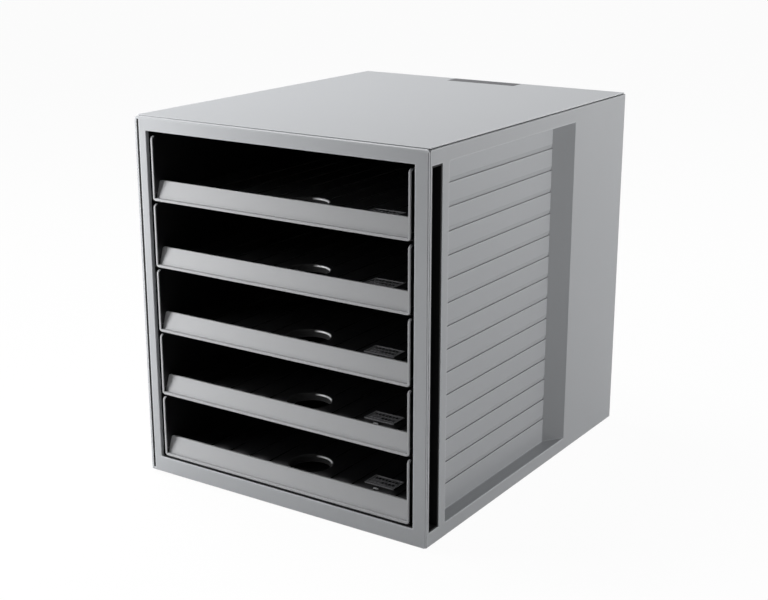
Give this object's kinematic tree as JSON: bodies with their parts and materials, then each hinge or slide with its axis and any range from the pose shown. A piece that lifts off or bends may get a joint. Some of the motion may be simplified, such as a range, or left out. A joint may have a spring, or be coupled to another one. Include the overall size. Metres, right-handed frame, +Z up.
{
  "type": "desktop file drawer",
  "caption": "Desktop file drawer: grey plastic case with open black trays that slide out of its front to hold papers and envelopes.",
  "frame": {"origin": "on the table, under the middle of the case's footprint", "axes": "+X to the right seen from the front, +Y from the front to the back of the case, +Z up; the drawers open toward -Y"},
  "size_m": [0.275, 0.33, 0.3065],
  "materials": {
    "case_grey": "fine satin moulded plastic, mid grey",
    "front_grey": "fine satin moulded plastic, mid grey",
    "tray_black": "smooth black moulded plastic",
    "rack_black": "black moulded plastic",
    "label_black": "black moulded plastic with worn raised ribs",
    "plate_dark": "dark grey satin plastic",
    "foot_rubber": "black rubber"
  },
  "bodies": {
    "case": {"front_frame": "case_grey", "top_panel": "case_grey", "base_panel": "case_grey", "back_panel": "case_grey", "left_side_panel": "case_grey", "right_side_panel": "case_grey", "left_runner_rack": "rack_black", "right_runner_rack": "rack_black", "name_plate": "plate_dark", "foot_front_left": "foot_rubber", "foot_front_right": "foot_rubber", "foot_back_left": "foot_rubber", "foot_back_right": "foot_rubber"},
    "drawer_1": {"drawer_tray_1": "tray_black", "drawer_front_1": "front_grey", "label_plate_1": "label_black"},
    "drawer_2": {"drawer_tray_2": "tray_black", "drawer_front_2": "front_grey", "label_plate_2": "label_black"},
    "drawer_3": {"drawer_tray_3": "tray_black", "drawer_front_3": "front_grey", "label_plate_3": "label_black"},
    "drawer_4": {"drawer_tray_4": "tray_black", "drawer_front_4": "front_grey", "label_plate_4": "label_black"},
    "drawer_5": {"drawer_tray_5": "tray_black", "drawer_front_5": "front_grey", "label_plate_5": "label_black"}
  },
  "joints": [
    {"name": "drawer_1_slide", "type": "slide", "parent": "case", "child": "drawer_1", "axis": [0, -1, 0], "range_m": [0, 0.23]},
    {"name": "drawer_2_slide", "type": "slide", "parent": "case", "child": "drawer_2", "axis": [0, -1, 0], "range_m": [0, 0.23]},
    {"name": "drawer_3_slide", "type": "slide", "parent": "case", "child": "drawer_3", "axis": [0, -1, 0], "range_m": [0, 0.23]},
    {"name": "drawer_4_slide", "type": "slide", "parent": "case", "child": "drawer_4", "axis": [0, -1, 0], "range_m": [0, 0.23]},
    {"name": "drawer_5_slide", "type": "slide", "parent": "case", "child": "drawer_5", "axis": [0, -1, 0], "range_m": [0, 0.23]}
  ]
}
